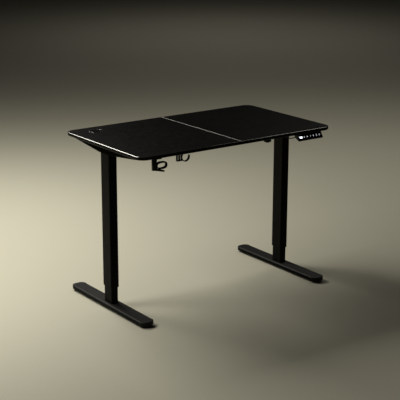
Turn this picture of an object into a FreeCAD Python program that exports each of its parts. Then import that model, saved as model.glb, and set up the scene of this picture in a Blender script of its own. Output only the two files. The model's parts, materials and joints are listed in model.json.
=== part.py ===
import FreeCAD, Part
import math
import os
import re
import Sketcher
from FreeCAD import Placement, Rotation, Vector

# Height adjustable standing desk with a two-piece top, two telescopic columns, one motor and one
# cross shaft. Millimetres. X runs along the desk, -Y is the user's side, +Z is up. The origin is on
# the floor, midway between the columns.

dimensions = (
    # board
    ("topWide", 1016), ("topDeep", 600), ("deskTall", 728), ("topThick", 15), ("cornerRound", 45),
    ("bandThick", 5), ("bandRound", 4), ("seamGap", 0.2), ("seamChamfer", 1),
    # feet
    ("columnX", 468), ("footLong", 586), ("footWide", 65), ("footTall", 18), ("footLift", 8),
    ("footRound", 5), ("footWall", 2), ("capLong", 28), ("capRound", 25), ("capEdge", 2.5),
    ("plugLong", 25), ("plugGap", 0.1), ("levellerY", 248), ("padRound", 19), ("padTall", 7.7),
    ("padRim", 3.5), ("padNeck", 14), ("studRound", 4), ("studTop", 20), ("studPlay", 0.05),
    ("plateWide", 54), ("plateDeep", 110), ("plateThick", 4), ("boltX", 9), ("boltY", 20),
    ("boltRound", 3), ("boltHead", 6), ("boltHeadTall", 4), ("boltTop", 30), ("boltAccess", 8),
    # columns
    ("innerWide", 33), ("innerDeep", 61), ("innerRound", 5), ("innerWall", 1.8), ("innerFloor", 5),
    ("innerTop", 640), ("nutTall", 28), ("outerWide", 40), ("outerDeep", 68), ("outerRound", 6),
    ("outerWall", 2), ("outerBottom", 99), ("glideTall", 40), ("glidePlay", 0.15),
    # lead screws and their gear pair, all on a shaft height under the board
    ("shaftDrop", 25), ("screwRound", 7), ("screwPlay", 0.06), ("screwBottom", 130), ("screwTop", 652),
    ("journalRound", 4), ("journalPlay", 0.02), ("bearingRound", 11), ("bearingTall", 7),
    ("gearFar", 13), ("gearNear", 7), ("gearSlack", 0.6), ("gearTeeth", 12), ("toothDeep", 1.6),
    ("hexRound", 4.62), ("boxWide", 34), ("boxBottom", 655), ("boxCavityX", 28), ("boxCavityY", 40),
    ("boxFloor", 10), ("boxRoof", 4), ("bearingLift", 1), ("gearHole", 40),
    # arms and rails under the board
    ("armLong", 480), ("armDeep", 30), ("armTip", 8), ("armFlat", 40), ("armWall", 3),
    ("railY", 60), ("railDeep", 20), ("railTall", 25), ("railWall", 1.5), ("railEnd", 4),
    ("screwShank", 2), ("screwHead", 4), ("screwHeadTall", 2.5), ("screwBite", 10),
    ("armScrewNear", 115), ("armScrewFar", 205), ("joinScrewY", 11),
    ("joinLong", 160), ("joinWide", 40), ("joinThick", 2.5), ("joinY", 215), ("joinScrewX", 65),
    # motor and worm drive
    ("motorX", 366), ("motorWide", 50), ("wormY", 22.2), ("wormRound", 6), ("wormHalf", 12),
    ("wheelRound", 15.5), ("wheelWide", 14), ("motorBoxBottom", 662), ("motorBoxFront", 46),
    ("motorBoxBack", 24), ("motorRound", 18), ("motorWall", 2), ("motorBottom", 624),
    ("bossRound", 8), ("bossTall", 4), ("motorShaft", 3),
    # cable grommet
    ("grommetX", -395), ("grommetY", 219), ("grommetHole", 30), ("grommetFlange", 34.5),
    ("flangeTall", 1.5), ("sleeveWall", 2.5), ("sleeveLong", 24), ("ledgeWide", 2.5),
    ("capDrop", 3), ("lidGap", 0.4), ("notchWide", 15), ("notchDeep", 14),
    # controller on a sloping face, measured up the slope from its front lip
    ("handX", 378), ("handWide", 137), ("lipY", -308), ("lipDrop", 26), ("faceRise", 26),
    ("faceRun", 17), ("handBack", -276), ("handBackTall", 14), ("handWall", 2.5), ("plateInset", 2.2),
    ("faceWide", 131), ("faceTall", 27), ("faceThick", 2), ("buttonWide", 13), ("buttonTall", 15),
    ("buttonGap", 0.12), ("buttonProud", 0.4), ("buttonThick", 3), ("buttonPitch", 17.5),
    ("firstButton", -34), ("windowX", -53.5), ("windowWide", 21), ("windowTall", 15),
    ("windowThick", 1.2), ("windowLap", 1.5), ("recessGap", 0.2), ("faceLap", 3), ("cableExit", 345),
    # control box, its mains inlet and the controller's cable
    ("powerX", 190), ("powerWide", 200), ("powerY", -130), ("powerDeep", 90), ("powerTall", 30),
    ("powerWall", 2.5), ("inletWide", 28), ("inletTall", 20), ("inletLong", 16), ("inletWall", 2.5),
    ("cableRound", 2), ("cableHole", 4.5), ("powerRound", 8), ("powerEdge", 3), ("powerInset", 9),
    ("powerCableY", -150), ("inletOut", 2), ("pinRound", 1.2), ("pinLong", 10), ("pinPitch", 9),
    # two moulded hooks under the left front of the board
    ("hookDeep", 15), ("hookWall", 4), ("hookPlate", 4), ("stemX", -430.5), ("stemY", -284),
    ("stemWide", 21), ("stemTall", 47), ("eyeX", -396.5), ("eyeDrop", 32.5), ("eyeWide", 54),
    ("eyeTall", 33), ("eyeRound", 15), ("tongueLong", 56), ("tongueThick", 6), ("tongueLean", 14),
    ("ribsX", -278), ("ribsY", -240), ("ribThick", 3), ("ribPitch", 11.5), ("ribTall", 42),
    ("crookX", -248), ("crookDrop", 27), ("crookRound", 21),
    # small allowances
    ("slotWide", 0.8), ("shaftPlay", 0.6), ("overlap", 1),
)

doc = FreeCAD.newDocument("StandingDesk")
sheet = doc.addObject("Spreadsheet::Sheet", "sizes")
for row, (alias, value) in enumerate(dimensions, start=1):
    sheet.set(f"A{row}", alias)
    sheet.set(f"B{row}", str(value))
    sheet.setAlias(f"B{row}", alias)
doc.recompute()

aliases = {alias for alias, value in dimensions}
boardUnder = "(deskTall - topThick)"
shaftZ = "(deskTall - topThick - shaftDrop)"
sides = (("left", -1), ("right", 1))
nodes = {}


def cells(text):
    """Turns each word that names a cell of the sheet into a reference to that cell."""
    named = lambda word: ("sizes." if word[0] in aliases else "") + word[0]
    return re.sub(r"[A-Za-z]\w*", named, str(text))


def value(text):
    return float(sheet.evalExpression(cells(text)))


def bind(thing, **properties):
    for name, expression in properties.items():
        thing.setExpression(name, cells(expression))
    return thing


def put(thing, x=0, y=0, z=0, axis=Vector(0, 0, 1), angle=0):
    """Turns a piece about an axis through its own origin and binds where that origin lies."""
    thing.Placement = Placement(Vector(), Rotation(axis, angle))
    for letter, expression in (("x", x), ("y", y), ("z", z)):
        thing.setExpression("Placement.Base." + letter, cells(expression))
    return thing


def keep(name, thing):
    """Makes a piece a node: its label is the name of its file."""
    thing.Label = name
    nodes[name] = thing
    return thing


def box(name, wide, deep, tall, x=0, y=0, z=0):
    """A block centred on x and y, standing on z."""
    block = bind(doc.addObject("Part::Box", name), Length=wide, Width=deep, Height=tall)
    return put(block, f"({x}) - ({wide}) / 2", f"({y}) - ({deep}) / 2", z)


def rod(name, radius, length, x=0, y=0, z=0, axis=Vector(0, 0, 1), angle=0):
    return put(bind(doc.addObject("Part::Cylinder", name), Radius=radius, Height=length), x, y, z, axis,
               angle)


def rodAlongX(name, radius, length, x, y, z):
    """A cylinder that starts at x and runs along +X."""
    return rod(name, radius, length, x, y, z, Vector(0, 1, 0), 90)


def group(name, pieces):
    lot = doc.addObject("Part::Compound", name)
    lot.Links = pieces
    return lot


def fuse(name, pieces):
    whole = doc.addObject("Part::MultiFuse", name)
    whole.Shapes = pieces
    return whole


def cut(name, base, tools):
    """Takes one or more tools away from a base."""
    result = doc.addObject("Part::Cut", name)
    result.Base = base
    result.Tool = tools[0] if len(tools) == 1 else group(name + "_tools", tools)
    return result


def drill(name, base, spots, radius, length, z):
    """Upright holes at the given spots, from z upwards."""
    drills = [rod(f"{name}_drill_{n}", radius, length, x, y, z) for n, (x, y) in enumerate(spots)]
    return cut(name, base, drills)


def newBody(name):
    return doc.addObject("PartDesign::Body", name)


def newSketch(body, name, plane="XY_Plane"):
    sketch = body.newObject("Sketcher::SketchObject", name)
    support = [feature for feature in body.Origin.OriginFeatures if feature.Role == plane][0]
    sketch.AttachmentSupport = [(support, "")]
    sketch.MapMode = "FlatFace"
    return sketch


def dimension(sketch, label, constraint, expression):
    """Adds a named dimension to a sketch and binds it to the sheet."""
    index = sketch.addConstraint(constraint)
    sketch.renameConstraint(index, label)
    sketch.setExpression("Constraints." + label, cells(expression))


def pad(body, sketch, length, middle=False, reverse=False):
    feature = body.newObject("PartDesign::Pad", body.Name + "_pad")
    feature.Profile = sketch
    feature.Midplane = middle
    feature.Reversed = reverse
    bind(feature, Length=length)
    body.Tip = feature
    return feature


def pocket(body, sketch, length, reverse=False, middle=False):
    feature = body.newObject("PartDesign::Pocket", body.Name + "_pocket")
    feature.Profile = sketch
    feature.Midplane = middle
    feature.Reversed = reverse
    bind(feature, Length=length)
    body.Tip = feature
    return feature


def edgesWhere(shape, test):
    """Names of the edges whose bounding box passes a test."""
    return [f"Edge{n}" for n, edge in enumerate(shape.Edges, start=1) if test(edge.BoundBox)]


def roundEdges(body, test, radius):
    """Rounds the edges of a body's last feature whose bounding box passes a test."""
    doc.recompute()
    base = body.Tip
    feature = body.newObject("PartDesign::Fillet", body.Name + "_fillet")
    feature.Base = (base, edgesWhere(base.Shape, test))
    bind(feature, Radius=radius)
    body.Tip = feature
    return feature


def roundedRectangle(sketch, wide, deep, radius, tag):
    """Adds a rectangle with round corners, centred on the sketch's origin and bound to three cells."""
    w, d, r = value(wide) / 2, value(deep) / 2, value(radius)
    ends = (
        ((r - w, -d), (w - r, -d)), ((w, r - d), (w, d - r)), ((w - r, d), (r - w, d)),
        ((-w, d - r), (-w, r - d)),
    )
    centres = ((w - r, r - d), (w - r, d - r), (r - w, d - r), (r - w, r - d))
    lines = [sketch.addGeometry(Part.LineSegment(Vector(*a, 0), Vector(*b, 0))) for a, b in ends]
    arcs = []
    for n, centre in enumerate(centres):
        circle = Part.Circle(Vector(*centre, 0), Vector(0, 0, 1), r)
        start = math.radians((n - 1) * 90)
        arcs.append(sketch.addGeometry(Part.ArcOfCircle(circle, start, start + math.pi / 2)))
    for n, arc in enumerate(arcs):
        sketch.addConstraint(Sketcher.Constraint("Tangent", lines[n], 2, arc, 1))
        sketch.addConstraint(Sketcher.Constraint("Tangent", arc, 2, lines[(n + 1) % 4], 1))
    for n in (0, 2):
        sketch.addConstraint(Sketcher.Constraint("Horizontal", lines[n]))
        sketch.addConstraint(Sketcher.Constraint("Vertical", lines[n + 1]))
    for arc in arcs[1:]:
        sketch.addConstraint(Sketcher.Constraint("Equal", arcs[0], arc))
    sketch.addConstraint(Sketcher.Constraint("Symmetric", lines[0], 1, lines[2], 1, -1, 1))
    across = Sketcher.Constraint("DistanceX", lines[3], 1, lines[1], 1, 2 * w)
    upward = Sketcher.Constraint("DistanceY", lines[0], 1, lines[2], 1, 2 * d)
    dimension(sketch, tag + "Wide", across, wide)
    dimension(sketch, tag + "Deep", upward, deep)
    dimension(sketch, tag + "Round", Sketcher.Constraint("Radius", arcs[0], r), radius)


def ring(sketch, wide, deep, radius, wall):
    """Two rounded rectangles, one a wall's thickness inside the other."""
    roundedRectangle(sketch, wide, deep, radius, "outer")
    roundedRectangle(sketch, f"{wide} - 2 * {wall}", f"{deep} - 2 * {wall}", f"{radius} - {wall}", "inner")


def halfBoard(sketch, inset, seam):
    """Outline of the right half of the board: straight at the seam, round at its two outer corners."""
    w, d = value(f"topWide / 2 - {inset}"), value(f"topDeep / 2 - {inset}")
    r, g = value(f"cornerRound - {inset}"), value(seam)
    quarter = Part.Circle(Vector(w - r, r - d, 0), Vector(0, 0, 1), r)
    other = Part.Circle(Vector(w - r, d - r, 0), Vector(0, 0, 1), r)
    front = sketch.addGeometry(Part.LineSegment(Vector(g, -d, 0), Vector(w - r, -d, 0)))
    frontArc = sketch.addGeometry(Part.ArcOfCircle(quarter, -math.pi / 2, 0))
    end = sketch.addGeometry(Part.LineSegment(Vector(w, r - d, 0), Vector(w, d - r, 0)))
    backArc = sketch.addGeometry(Part.ArcOfCircle(other, 0, math.pi / 2))
    back = sketch.addGeometry(Part.LineSegment(Vector(w - r, d, 0), Vector(g, d, 0)))
    joint = sketch.addGeometry(Part.LineSegment(Vector(g, d, 0), Vector(g, -d, 0)))
    for first, second in ((front, frontArc), (frontArc, end), (end, backArc), (backArc, back)):
        sketch.addConstraint(Sketcher.Constraint("Tangent", first, 2, second, 1))
    for first, second in ((back, joint), (joint, front)):
        sketch.addConstraint(Sketcher.Constraint("Coincident", first, 2, second, 1))
    for line, direction in ((front, "Horizontal"), (back, "Horizontal"), (end, "Vertical")):
        sketch.addConstraint(Sketcher.Constraint(direction, line))
    sketch.addConstraint(Sketcher.Constraint("Equal", frontArc, backArc))
    sketch.addConstraint(Sketcher.Constraint("Symmetric", front, 1, back, 2, -1))
    dimension(sketch, "seam", Sketcher.Constraint("DistanceX", -1, 1, joint, 1, g), seam)
    dimension(sketch, "halfWide", Sketcher.Constraint("DistanceX", -1, 1, end, 1, w),
              f"topWide / 2 - {inset}")
    dimension(sketch, "halfDeep", Sketcher.Constraint("DistanceY", -1, 1, back, 1, d),
              f"topDeep / 2 - {inset}")
    dimension(sketch, "corner", Sketcher.Constraint("Radius", frontArc, r), f"cornerRound - {inset}")


def polygon(sketch, points):
    """A closed outline through points whose two coordinates are each bound to the sheet."""
    spots = [Vector(value(across), value(up), 0) for across, up in points]
    lines = [
        sketch.addGeometry(Part.LineSegment(spot, spots[(n + 1) % len(spots)]))
        for n, spot in enumerate(spots)
    ]
    for n, line in enumerate(lines):
        sketch.addConstraint(Sketcher.Constraint("Coincident", line, 2, lines[(n + 1) % len(lines)], 1))
    for n, (line, (across, up)) in enumerate(zip(lines, points)):
        first = Sketcher.Constraint("DistanceX", -1, 1, line, 1, spots[n].x)
        second = Sketcher.Constraint("DistanceY", -1, 1, line, 1, spots[n].y)
        dimension(sketch, f"across{n}", first, across)
        dimension(sketch, f"up{n}", second, up)


def armScrewSpots(sign):
    return [(f"{sign} * columnX", f"{way} * {row}") for way in (-1, 1)
            for row in ("armScrewNear", "armScrewFar")]


def joinScrewSpots():
    return [(f"{sign} * joinScrewX", f"{row} * joinY + {way} * joinScrewY")
            for row in (-1, 0, 1) for sign in (-1, 1) for way in (-1, 1)]


def makeBoard():
    """Two panels that meet at a seam, each with a banded edge, and the plates that join them."""
    for side, sign in sides:
        panel = newBody(f"{side}_panel_stock")
        outline = newSketch(panel, f"{side}_panel_outline")
        halfBoard(outline, "bandThick", "seamGap")
        pad(panel, outline, "topThick")
        doc.recompute()
        base = panel.Tip
        bevel = panel.newObject("PartDesign::Chamfer", f"{side}_seam_bevel")
        atSeam = lambda b: b.XMax < 1 and b.YLength > 100 and b.ZMin > value("topThick") - 0.1
        bevel.Base = (base, edgesWhere(base.Shape, atSeam))
        bind(bevel, Size="seamChamfer")
        panel.Tip = bevel
        put(panel, 0, 0, boardUnder, angle=0 if sign > 0 else 180)
        spots = armScrewSpots(sign) + [spot for spot in joinScrewSpots() if spot[0].startswith(f"{sign} ")]
        holes = [
            rod(f"{side}_pilot_{n}", "screwShank", "screwBite", x, y, boardUnder)
            for n, (x, y) in enumerate(spots)
        ]
        if side == "left":
            holes.append(rod("grommet_opening", "grommetHole", "topThick", "grommetX", "grommetY",
                             boardUnder))
        keep(f"desktop_{side}_panel", cut(f"{side}_panel", panel, holes))
        band = newBody(f"edge_band_{side}")
        halfBoard(newSketch(band, f"{side}_band_outline"), 0, "seamGap")
        pad(band, band.Group[-1], "topThick")
        inner = newSketch(band, f"{side}_band_inside")
        halfBoard(inner, "bandThick", "seamGap - 1")
        pocket(band, inner, "topThick", reverse=True)
        reach = value("topWide / 2 - 0.1")
        deep = value("topDeep / 2 - 0.1")
        wall = value("bandThick")
        outside = lambda b: (b.ZLength < 0.01 and (b.XMax > reach or b.YMax > deep or b.YMin < -deep)
                             and (b.XLength > wall + 0.1 or b.YLength > wall + 0.1))
        roundEdges(band, outside, "bandRound")
        put(band, 0, 0, boardUnder, angle=0 if sign > 0 else 180)
        keep(f"edge_band_{side}", band)
    plates = []
    for row in (-1, 0, 1):
        plate = box(f"join_plate_{row + 1}", "joinLong", "joinWide", "joinThick", 0, f"{row} * joinY",
                    f"{boardUnder} - joinThick")
        spots = [spot for spot in joinScrewSpots() if spot[1].startswith(f"{row} ")]
        plates.append(drill(f"join_plate_drilled_{row + 1}", plate, spots, "screwShank", "joinThick",
                            f"{boardUnder} - joinThick"))
    keep("joining_plates", group("joining_plates", plates))


def makeScrew(name, x, y, seat, head, headTall, shank, length):
    """A pan-head screw driven upwards: the head hangs below its seat and the shank rises from it."""
    top = rod(name + "_head", head, headTall, x, y, f"{seat} - {headTall}")
    stem = rod(name + "_shank", shank, length, x, y, seat)
    slot = box(name + "_slot", f"1.2 * {head}", "slotWide", "slotWide", x, y, f"{seat} - {headTall}")
    return cut(name, fuse(name + "_whole", [top, stem]), [slot])


def makeScrews():
    """Wood screws through the arms and the joining plates into the board."""
    screws = []
    for side, sign in sides:
        for n, (x, y) in enumerate(armScrewSpots(sign)):
            screws.append(makeScrew(f"arm_screw_{side}_{n}", x, y, f"({boardUnder} - armWall)", "screwHead",
                                    "screwHeadTall", "screwShank", "armWall + screwBite"))
    for n, (x, y) in enumerate(joinScrewSpots()):
        screws.append(makeScrew(f"join_screw_{n}", x, y, f"({boardUnder} - joinThick)", "screwHead",
                                "screwHeadTall", "screwShank", "joinThick + screwBite"))
    keep("wood_screws", group("wood_screws", screws))


def boltSpots(sign):
    return [(f"{sign} * columnX + {across} * boltX", f"{along} * boltY") for across in (-1, 1)
            for along in (-1, 1)]


def makeFoot(side, sign):
    """A flat steel tube along Y, with holes below for the bolts and the levellers."""
    foot = newBody(f"foot_{side}_tube")
    section = newSketch(foot, f"foot_{side}_section", "XZ_Plane")
    ring(section, "footWide", "footTall", "footRound", "footWall")
    pad(foot, section, "footLong - 2 * capLong", middle=True)
    put(foot, f"{sign} * columnX", 0, "footLift + footTall / 2")
    tools = []
    for n, (x, y) in enumerate(boltSpots(sign)):
        tools.append(rod(f"foot_{side}_access_{n}", "boltAccess", "footWall + 1", x, y, "footLift - 0.5"))
        tools.append(rod(f"foot_{side}_bolt_hole_{n}", "boltRound", "footWall + 1", x, y,
                         "footLift + footTall - footWall - 0.5"))
    for end in (-1, 1):
        tools.append(rod(f"foot_{side}_stud_hole_{end + 1}", "studRound + studPlay", "footWall + 1",
                         f"{sign} * columnX", f"{end} * levellerY", "footLift - 0.5"))
    keep(f"foot_{side}", cut(f"foot_{side}_drilled", foot, tools))


def makeFootCap(side, sign, end, turn):
    """A moulded end with round corners and a plug that sits in the tube, notched for the leveller."""
    name = f"foot_cap_{side}_{end}"
    cap = newBody(name)
    nose = cap.newObject("PartDesign::AdditiveBox", name + "_nose")
    bind(nose, Length="footWide", Width="capLong", Height="footTall")
    put(nose, "-footWide / 2", "-capLong", 0)
    cap.Tip = nose
    tall, reach = value("footTall"), value("footWide / 2")
    nearEnd = lambda b: b.ZLength > tall - 0.1 and b.YMax < -1
    roundEdges(cap, nearEnd, "capRound")
    backEdge = lambda b: b.XLength > reach * 2 - 1 and b.YMax > -0.1
    rims = lambda b: b.ZLength < 0.01 and b.YMin < -1 and not backEdge(b)
    roundEdges(cap, rims, "capEdge")
    plug = cap.newObject("PartDesign::AdditiveBox", name + "_plug")
    bind(plug, Length="footWide - 2 * footWall - 6", Width="plugLong",
         Height="footTall - 2 * footWall - 2 * plugGap")
    put(plug, "3 + footWall - footWide / 2", 0, "footWall + plugGap")
    cap.Tip = plug
    way = -1 if end == "front" else 1
    put(cap, f"{sign} * columnX", f"{way} * (footLong / 2 - capLong)", "footLift", angle=turn)
    stud = rod(name + "_stud_way", "studRound + 1", "footTall", f"{sign} * columnX", f"{way} * levellerY",
               "footLift")
    keep(name, cut(name + "_bored", cap, [stud]))


def makeLeveller(side, sign, end, way):
    """A screw-in pad: a broad disc, a sloping neck and a threaded stud."""
    name = f"leveller_{side}_{end}"
    x, y = f"{sign} * columnX", f"{way} * levellerY"
    disc = rod(name + "_disc", "padRound", "padRim", x, y, 0)
    neck = bind(doc.addObject("Part::Cone", name + "_neck"), Radius1="padRound", Radius2="padNeck",
                Height="padTall - padRim")
    put(neck, x, y, "padRim")
    stud = rod(name + "_stud", "studRound", "studTop - padRim", x, y, "padRim")
    keep(name, fuse(name + "_whole", [disc, neck, stud]))


def makeFeet():
    """Feet with their caps and levellers, the plates inside them and the bolts up into the columns."""
    plates, bolts = [], []
    for side, sign in sides:
        makeFoot(side, sign)
        for end, way, turn in (("front", -1, 0), ("rear", 1, 180)):
            makeFootCap(side, sign, end, turn)
            makeLeveller(side, sign, end, way)
        under = "(footLift + footTall - footWall - plateThick)"
        plate = box(f"plate_{side}", "plateWide", "plateDeep", "plateThick", f"{sign} * columnX", 0, under)
        plates.append(drill(f"plate_drilled_{side}", plate, boltSpots(sign), "boltRound", "plateThick",
                            under))
        for n, (x, y) in enumerate(boltSpots(sign)):
            head = rod(f"bolt_head_{side}_{n}", "boltHead", "boltHeadTall", x, y, f"{under} - boltHeadTall")
            shank = rod(f"bolt_shank_{side}_{n}", "boltRound", f"boltTop - {under}", x, y, under)
            hexagon = bind(doc.addObject("Part::Prism", f"bolt_socket_{side}_{n}"),
                           Circumradius="boltRound",
                           Height="boltHeadTall / 2")
            put(hexagon, x, y, f"{under} - boltHeadTall")
            bolts.append(cut(f"bolt_{side}_{n}", fuse(f"bolt_solid_{side}_{n}", [head, shank]), [hexagon]))
    keep("column_plates", group("column_plates", plates))
    keep("foot_bolts", group("foot_bolts", bolts))


def makeSleeve(name, wide, deep, radius, wall, tall, x, z):
    """A straight tube with a rounded rectangular section."""
    sleeve = newBody(name)
    section = newSketch(sleeve, name + "_section")
    ring(section, wide, deep, radius, wall)
    pad(sleeve, section, tall)
    return put(sleeve, x, 0, z)


def makeColumns():
    """Thin tubes that stand on the feet and thick tubes that slide on them, with nylon glides between."""
    nuts, innerGlides, outerGlides = [], [], []
    footTop = "(footLift + footTall)"
    cavityWide, cavityDeep = "(outerWide - 2 * outerWall)", "(outerDeep - 2 * outerWall)"
    for side, sign in sides:
        x = f"{sign} * columnX"
        tube = newBody(f"inner_tube_{side}_stock")
        outline = newSketch(tube, f"inner_tube_{side}_outline")
        roundedRectangle(outline, "innerWide", "innerDeep", "innerRound", "outer")
        pad(tube, outline, f"innerTop - {footTop}")
        hollow = newSketch(tube, f"inner_tube_{side}_hollow")
        roundedRectangle(hollow, "innerWide - 2 * innerWall", "innerDeep - 2 * innerWall",
                         "innerRound - innerWall", "inner")
        hollow.setExpression("AttachmentOffset.Base.z", cells(f"innerTop - {footTop}"))
        pocket(tube, hollow, f"innerTop - {footTop} - innerFloor")
        put(tube, x, 0, footTop)
        keep(f"inner_tube_{side}", drill(f"inner_tube_{side}_drilled", tube, boltSpots(sign), "boltRound",
                                         "innerFloor + 1", f"{footTop} - 0.5"))
        block = newBody(f"lead_nut_{side}")
        blockOutline = newSketch(block, f"lead_nut_{side}_outline")
        roundedRectangle(blockOutline, "innerWide - 2 * innerWall", "innerDeep - 2 * innerWall",
                         "innerRound - innerWall", "outer")
        pad(block, blockOutline, "nutTall")
        put(block, x, 0, "innerTop - nutTall")
        bore = rod(f"lead_nut_{side}_bore", "screwRound + screwPlay", "nutTall", x, 0, "innerTop - nutTall")
        nuts.append(cut(f"lead_nut_{side}_bored", block, [bore]))
        innerGlides.append(makeSleeve(f"inner_glide_{side}", f"({cavityWide} - 2 * glidePlay)",
                                      f"({cavityDeep} - 2 * glidePlay)", "(innerRound + 1)",
                                      "(outerWide / 2 - outerWall - glidePlay - innerWide / 2)",
                                      "glideTall", x,
                                      "innerTop - glideTall"))
        shell = makeSleeve(f"outer_tube_{side}_shell", "outerWide", "outerDeep", "outerRound", "outerWall",
                           f"{boardUnder} - armDeep - outerBottom", x, "outerBottom")
        keep(f"outer_tube_{side}", shell)
        outerGlides.append(makeSleeve(f"outer_glide_{side}", cavityWide, cavityDeep,
                                      "(outerRound - outerWall)",
                                      "(outerWide / 2 - outerWall - glidePlay - innerWide / 2)",
                                      "glideTall", x,
                                      "outerBottom"))
    keep("lead_nuts", group("lead_nuts", nuts))
    keep("inner_glides", group("inner_glides", innerGlides))
    keep("outer_glides", group("outer_glides", outerGlides))


def bevelGear(name, x, z, axis, angle):
    """A small bevel gear whose cone would reach a point where the two shafts cross, with straight teeth."""
    far, near = "gearFar - gearSlack", "gearNear - gearSlack"
    blank = bind(doc.addObject("Part::Cone", name + "_blank"), Radius1=far, Radius2=near,
                 Height="gearFar - gearNear")
    tools = []
    for tooth in range(int(value("gearTeeth"))):
        gap = bind(doc.addObject("Part::Wedge", f"{name}_gap_{tooth}"), Xmin=-0.3, Xmax=0.3, X2min=-1.2,
                   X2max=1.2,
                   Ymin="-toothDeep", Ymax=2, Zmin=-1, Zmax=20, Z2min=-1, Z2max=20)
        lean = Rotation(Vector(1, 0, 0), 45)
        turn = Rotation(Vector(0, 0, 1), 360 * tooth / value("gearTeeth"))
        radius = value(far)
        gap.Placement = Placement(turn.multVec(Vector(0, radius, 0)), turn.multiply(lean))
        tools.append(gap)
    gear = cut(name, blank, tools)
    return put(gear, x, 0, z, axis, angle)


def makeDrive():
    """Lead screws with bevel gears, the hexagonal cross shaft with its gears, and the worm drive."""
    bearings, shaftGears = [], []
    hexagon = bind(doc.addObject("Part::Prism", "drive_shaft"), Circumradius="hexRound",
                   Height="2 * (columnX - gearNear)")
    put(hexagon, "gearNear - columnX", 0, shaftZ, Vector(0, 1, 0), 90)
    keep("drive_shaft", hexagon)
    for side, sign in sides:
        x = f"{sign} * columnX"
        thread = rod(f"thread_{side}", "screwRound", "screwTop - screwBottom", x, 0, "screwBottom")
        journal = rod(f"journal_{side}", "journalRound", f"{shaftZ} - gearNear - screwTop", x, 0,
                      "screwTop")
        keep(f"lead_screw_{side}", fuse(f"lead_screw_{side}", [thread, journal]))
        outer = rod(f"bearing_outer_{side}", "bearingRound", "bearingTall", x, 0, "boxBottom + bearingLift")
        bore = rod(f"bearing_bore_{side}", "journalRound + journalPlay", "bearingTall", x, 0,
                   "boxBottom + bearingLift")
        bearings.append(cut(f"bearing_{side}", outer, [bore]))
        screwGear = bevelGear(f"screw_gear_{side}_toothed", x, f"{shaftZ} - gearFar", Vector(0, 0, 1), 0)
        hub = rod(f"screw_gear_hub_{side}", "journalRound", "gearFar - gearNear", x, 0,
                  f"{shaftZ} - gearFar")
        keep(f"screw_gear_{side}", cut(f"screw_gear_{side}_bored", screwGear, [hub]))
        turn = 90 if sign > 0 else -90
        gear = bevelGear(f"shaft_gear_{side}_toothed", f"{sign} * (columnX - gearFar)", shaftZ,
                         Vector(0, 1, 0), turn)
        hole = bind(doc.addObject("Part::Prism", f"shaft_gear_hole_{side}"), Circumradius="hexRound",
                    Height="gearHole")
        put(hole, f"{sign} * columnX - gearHole / 2", 0, shaftZ, Vector(0, 1, 0), 90)
        shaftGears.append(cut(f"shaft_gear_{side}", gear, [hole]))
        keep(f"gearbox_{side}", makeGearbox(side, sign))
    keep("screw_bearings", group("screw_bearings", bearings))
    keep("shaft_gears", group("shaft_gears", shaftGears))
    wheel = rodAlongX("worm_wheel_disc", "wheelRound", "wheelWide", "motorX - wheelWide / 2", 0, shaftZ)
    wheelHole = bind(doc.addObject("Part::Prism", "worm_wheel_hole"), Circumradius="hexRound",
                     Height="wheelWide")
    put(wheelHole, "motorX - wheelWide / 2", 0, shaftZ, Vector(0, 1, 0), 90)
    keep("worm_wheel", cut("worm_wheel_bored", wheel, [wheelHole]))
    worm = rod("worm_thread", "wormRound", "2 * wormHalf", "motorX", "-wormY", f"{shaftZ} - wormHalf")
    stem = rod("worm_stem", "motorShaft", f"{shaftZ} + wormHalf - motorBottom - 8", "motorX", "-wormY",
               "motorBottom + 8")
    keep("worm_shaft", fuse("worm_shaft", [worm, stem]))


def makeGearbox(side, sign):
    """A cast block in the head of a column: bearing seat below, room for the two bevel gears above."""
    x = f"{sign} * columnX"
    top = f"({boardUnder} - armWall)"
    block = box(f"gearbox_{side}_block", "boxWide", "outerDeep - 2 * outerWall - 2", f"{top} - boxBottom",
                x, 0,
                "boxBottom")
    cavity = box(f"gearbox_{side}_cavity", "boxCavityX", "boxCavityY",
                 f"{top} - boxBottom - boxFloor - boxRoof", x, 0,
                 "boxBottom + boxFloor")
    seat = rod(f"gearbox_{side}_seat", "bearingRound", "bearingTall", x, 0, "boxBottom + bearingLift")
    throat = rod(f"gearbox_{side}_throat", "screwRound", "boxFloor + overlap", x, 0, "boxBottom")
    inboard = f"{sign} * (columnX - boxWide / 2) - boxWide / 2"
    shaftWay = rodAlongX(f"gearbox_{side}_shaft_way", "hexRound + shaftPlay", "boxWide", inboard, 0, shaftZ)
    return cut(f"gearbox_{side}_cast", block, [cavity, seat, throat, shaftWay])


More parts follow.
